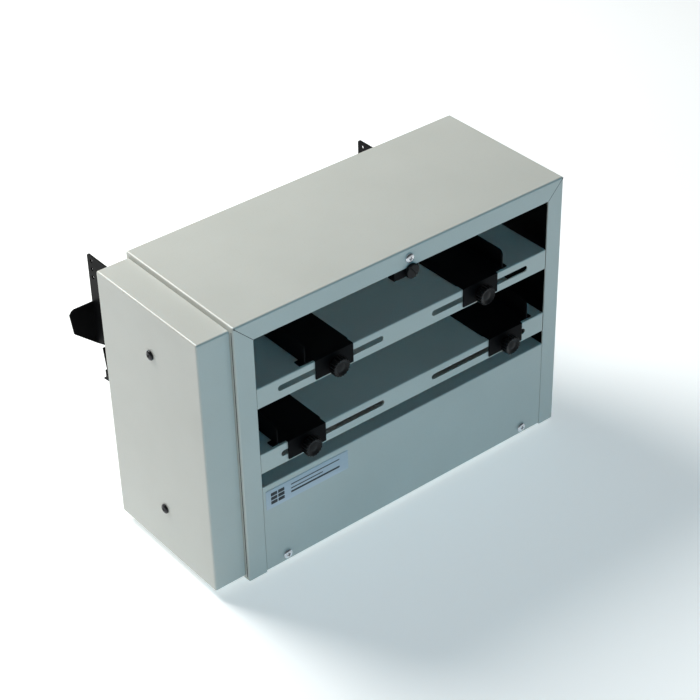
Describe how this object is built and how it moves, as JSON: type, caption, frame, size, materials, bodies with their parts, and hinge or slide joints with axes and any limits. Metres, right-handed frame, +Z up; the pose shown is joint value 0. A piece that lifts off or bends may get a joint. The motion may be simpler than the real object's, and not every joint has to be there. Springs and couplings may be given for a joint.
{
  "type": "tabletop card slitter",
  "caption": "Electric tabletop card slitter: sheets fed over the upper table are slit into strips, strips over the lower table into cards that drop in a rear tray.",
  "frame": {"origin": "middle of the whole machine's footprint, on the surface that its feet stand on", "axes": "+X across the machine to the right seen from the feed side, +Y backwards from the feed side to the catch tray, +Z up"},
  "size_m": [0.3874, 0.2636, 0.265],
  "materials": {
    "putty_paint": "satin powder coat",
    "black_paint": "satin black coat",
    "zinc": "bright zinc plate",
    "steel": "ground and oiled",
    "blade_steel": "ground edge",
    "gear_steel": "cut and greased",
    "bronze": "sintered",
    "roller_rubber": "ground matte",
    "foot_rubber": "matte",
    "black_plastic": "moulded",
    "label_face": "printed plate",
    "cast_alloy": "die cast",
    "motor_paint": "enamel"
  },
  "bodies": {
    "cabinet": {"cabinet_shell": "putty_paint", "end_cover": "putty_paint", "base_pan": "putty_paint", "lower_front_panel": "putty_paint", "rear_panel": "putty_paint", "upper_table": "putty_paint", "lower_table": "putty_paint", "tie_rods": "steel", "cover_posts": "steel", "upper_exit_chute": "steel", "lower_exit_chute": "steel", "idler_pin": "steel", "left_side_frame": "black_paint", "right_side_frame": "black_paint", "hold_down_bar": "black_paint", "catch_tray": "black_paint", "left_tray_bracket": "black_paint", "right_tray_bracket": "black_paint", "case_screws": "zinc", "frame_screws": "zinc", "label_plate": "label_face", "bushes": "bronze", "rubber_feet": "foot_rubber", "power_inlet": "black_plastic", "switch_housing": "black_plastic", "gearbox": "cast_alloy", "motor": "motor_paint"},
    "upper_left_guide": {"upper_left_guide": "black_paint", "upper_left_clamp_nut": "zinc"},
    "upper_left_knob": {"upper_left_knob": "black_plastic"},
    "upper_right_guide": {"upper_right_guide": "black_paint", "upper_right_clamp_nut": "zinc"},
    "upper_right_knob": {"upper_right_knob": "black_plastic"},
    "upper_top_cutter_shaft": {"upper_top_shaft": "steel", "upper_top_slitting_discs": "blade_steel", "upper_top_feed_rollers": "roller_rubber", "upper_top_gear": "gear_steel"},
    "upper_bottom_cutter_shaft": {"upper_bottom_shaft": "steel", "upper_bottom_slitting_discs": "blade_steel", "upper_bottom_feed_rollers": "roller_rubber", "upper_bottom_gear": "gear_steel"},
    "lower_left_guide": {"lower_left_guide": "black_paint", "lower_left_clamp_nut": "zinc"},
    "lower_left_knob": {"lower_left_knob": "black_plastic"},
    "lower_right_guide": {"lower_right_guide": "black_paint", "lower_right_clamp_nut": "zinc"},
    "lower_right_knob": {"lower_right_knob": "black_plastic"},
    "lower_top_cutter_shaft": {"lower_top_shaft": "steel", "lower_top_slitting_discs": "blade_steel", "lower_top_feed_rollers": "roller_rubber", "lower_top_gear": "gear_steel"},
    "lower_bottom_cutter_shaft": {"lower_bottom_shaft": "steel", "lower_bottom_slitting_discs": "blade_steel", "lower_bottom_feed_rollers": "roller_rubber", "lower_bottom_gear": "gear_steel"},
    "idler_gear": {"idler_gear": "gear_steel"},
    "gearbox_output": {"output_shaft": "steel", "motor_pinion": "gear_steel"},
    "hold_down_knob": {"hold_down_knob": "black_plastic"},
    "rocker": {"rocker": "black_plastic"}
  },
  "joints": [
    {"name": "upper_left_guide_slide", "type": "slide", "parent": "cabinet", "child": "upper_left_guide", "axis": [1, 0, 0], "range_m": [-0.0548, 0.0505]},
    {"name": "upper_left_knob_turn", "type": "hinge", "parent": "upper_left_guide", "child": "upper_left_knob", "pos_m": [-0.0628, -0.1318, 0.1884], "axis": [0, -1, 0], "range_deg": [0, 360]},
    {"name": "upper_right_guide_slide", "type": "slide", "parent": "cabinet", "child": "upper_right_guide", "axis": [1, 0, 0], "range_m": [-0.0515, 0.0538]},
    {"name": "upper_right_knob_turn", "type": "hinge", "parent": "upper_right_guide", "child": "upper_right_knob", "pos_m": [0.0976, -0.1318, 0.1884], "axis": [0, -1, 0], "range_deg": [0, 360]},
    {"name": "lower_left_guide_slide", "type": "slide", "parent": "cabinet", "child": "lower_left_guide", "axis": [1, 0, 0], "range_m": [-0.0237, 0.0816]},
    {"name": "lower_left_knob_turn", "type": "hinge", "parent": "lower_left_guide", "child": "lower_left_knob", "pos_m": [-0.0939, -0.1318, 0.1218], "axis": [0, -1, 0], "range_deg": [0, 360]},
    {"name": "lower_right_guide_slide", "type": "slide", "parent": "cabinet", "child": "lower_right_guide", "axis": [1, 0, 0], "range_m": [-0.0831, 0.0222]},
    {"name": "lower_right_knob_turn", "type": "hinge", "parent": "lower_right_guide", "child": "lower_right_knob", "pos_m": [0.1292, -0.1318, 0.1218], "axis": [0, -1, 0], "range_deg": [0, 360]},
    {"name": "hold_down_knob_turn", "type": "hinge", "parent": "cabinet", "child": "hold_down_knob", "pos_m": [0.0201, -0.1242, 0.2431], "axis": [0, -1, 0], "range_deg": [0, 360]},
    {"name": "lower_bottom_shaft_spin", "type": "hinge", "parent": "cabinet", "child": "lower_bottom_cutter_shaft", "pos_m": [-0.1599, -0.0246, 0.1179], "axis": [1, 0, 0], "continuous": true},
    {"name": "lower_top_shaft_spin", "type": "hinge", "parent": "cabinet", "child": "lower_top_cutter_shaft", "pos_m": [-0.1599, -0.0246, 0.1459], "axis": [1, 0, 0], "continuous": true},
    {"name": "upper_bottom_shaft_spin", "type": "hinge", "parent": "cabinet", "child": "upper_bottom_cutter_shaft", "pos_m": [-0.1599, -0.0246, 0.1845], "axis": [1, 0, 0], "continuous": true},
    {"name": "upper_top_shaft_spin", "type": "hinge", "parent": "cabinet", "child": "upper_top_cutter_shaft", "pos_m": [-0.1599, -0.0246, 0.2125], "axis": [1, 0, 0], "continuous": true},
    {"name": "idler_gear_spin", "type": "hinge", "parent": "cabinet", "child": "idler_gear", "pos_m": [-0.1754, -0.0043, 0.1512], "axis": [1, 0, 0], "continuous": true},
    {"name": "gearbox_output_spin", "type": "hinge", "parent": "cabinet", "child": "gearbox_output", "pos_m": [-0.1599, -0.0246, 0.0779], "axis": [1, 0, 0], "continuous": true},
    {"name": "rocker_press", "type": "hinge", "parent": "cabinet", "child": "rocker", "pos_m": [0.0981, 0.0246, 0.043], "axis": [1, 0, 0], "range_deg": [-20, 0]}
  ],
  "couplings": [
    {"joint": "lower_top_shaft_spin", "follows": "lower_bottom_shaft_spin", "ratio": -1},
    {"joint": "upper_bottom_shaft_spin", "follows": "lower_bottom_shaft_spin", "ratio": 1},
    {"joint": "upper_top_shaft_spin", "follows": "lower_bottom_shaft_spin", "ratio": -1},
    {"joint": "idler_gear_spin", "follows": "lower_bottom_shaft_spin", "ratio": -0.56},
    {"joint": "gearbox_output_spin", "follows": "lower_bottom_shaft_spin", "ratio": -3}
  ]
}
